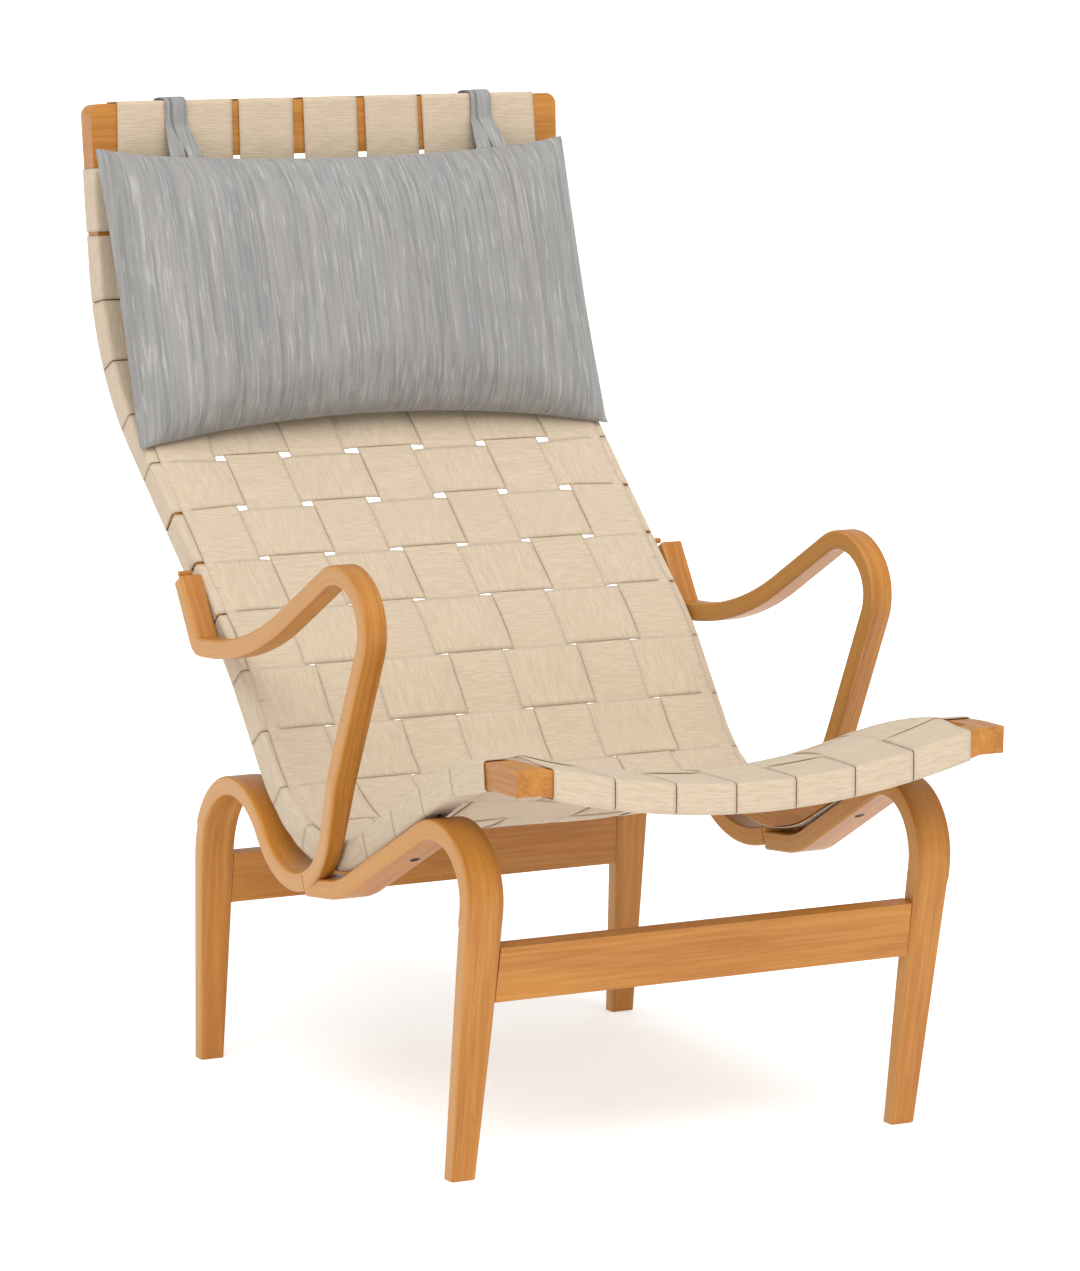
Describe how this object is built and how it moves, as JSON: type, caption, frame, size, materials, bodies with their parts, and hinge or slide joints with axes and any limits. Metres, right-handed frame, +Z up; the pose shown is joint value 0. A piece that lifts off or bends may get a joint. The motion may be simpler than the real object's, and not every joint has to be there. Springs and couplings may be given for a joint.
{
  "type": "easy chair",
  "caption": "Bentwood easy chair with a webbed seat and back on bent side frames, and a head pillow hung from the top rail",
  "frame": {"origin": "on the floor, below the middle of the chair's box", "axes": "+Z up, the sitter faces -Y, +X to the sitter's left"},
  "size_m": [0.5858, 0.9735, 0.9887],
  "materials": {
    "bentwood": "satin lacquered beech",
    "dowel": "plain beech",
    "screw": "darkened steel",
    "webbing": "ribbed natural webbing",
    "pillow_fabric": "woven melange cloth"
  },
  "bodies": {
    "frame": {"side_rail_left": "bentwood", "side_rail_right": "bentwood", "top_rail": "bentwood", "front_rail": "bentwood", "front_leg_left": "bentwood", "front_leg_right": "bentwood", "rear_leg_left": "bentwood", "rear_leg_right": "bentwood", "arm_left": "bentwood", "arm_right": "bentwood", "front_stretcher": "bentwood", "rear_stretcher": "bentwood", "front_rail_dowels": "dowel", "top_rail_dowels": "dowel", "arm_tab_dowels": "dowel", "front_stretcher_dowels": "dowel", "rear_stretcher_dowels": "dowel", "bow_screws": "screw", "lengthwise_strap_1": "webbing", "lengthwise_strap_2": "webbing", "lengthwise_strap_3": "webbing", "lengthwise_strap_4": "webbing", "lengthwise_strap_5": "webbing", "lengthwise_strap_6": "webbing", "lengthwise_strap_7": "webbing", "crosswise_strap_01": "webbing", "crosswise_strap_02": "webbing", "crosswise_strap_03": "webbing", "crosswise_strap_04": "webbing", "crosswise_strap_05": "webbing", "crosswise_strap_06": "webbing", "crosswise_strap_07": "webbing", "crosswise_strap_08": "webbing", "crosswise_strap_09": "webbing", "crosswise_strap_10": "webbing", "crosswise_strap_11": "webbing", "crosswise_strap_12": "webbing", "crosswise_strap_13": "webbing", "crosswise_strap_14": "webbing", "crosswise_strap_15": "webbing", "crosswise_strap_16": "webbing", "crosswise_strap_17": "webbing", "crosswise_strap_18": "webbing", "pillow_loop_left": "pillow_fabric", "pillow_loop_right": "pillow_fabric"},
    "pillow": {"head_pillow": "pillow_fabric"}
  },
  "joints": [
    {"name": "pillow_swing", "type": "hinge", "parent": "frame", "child": "pillow", "pos_m": [0, 0.4548, 0.985], "axis": [-1, 0, 0], "range_deg": [0, 150], "deforming": ["pillow_loop_left", "pillow_loop_right"]}
  ]
}
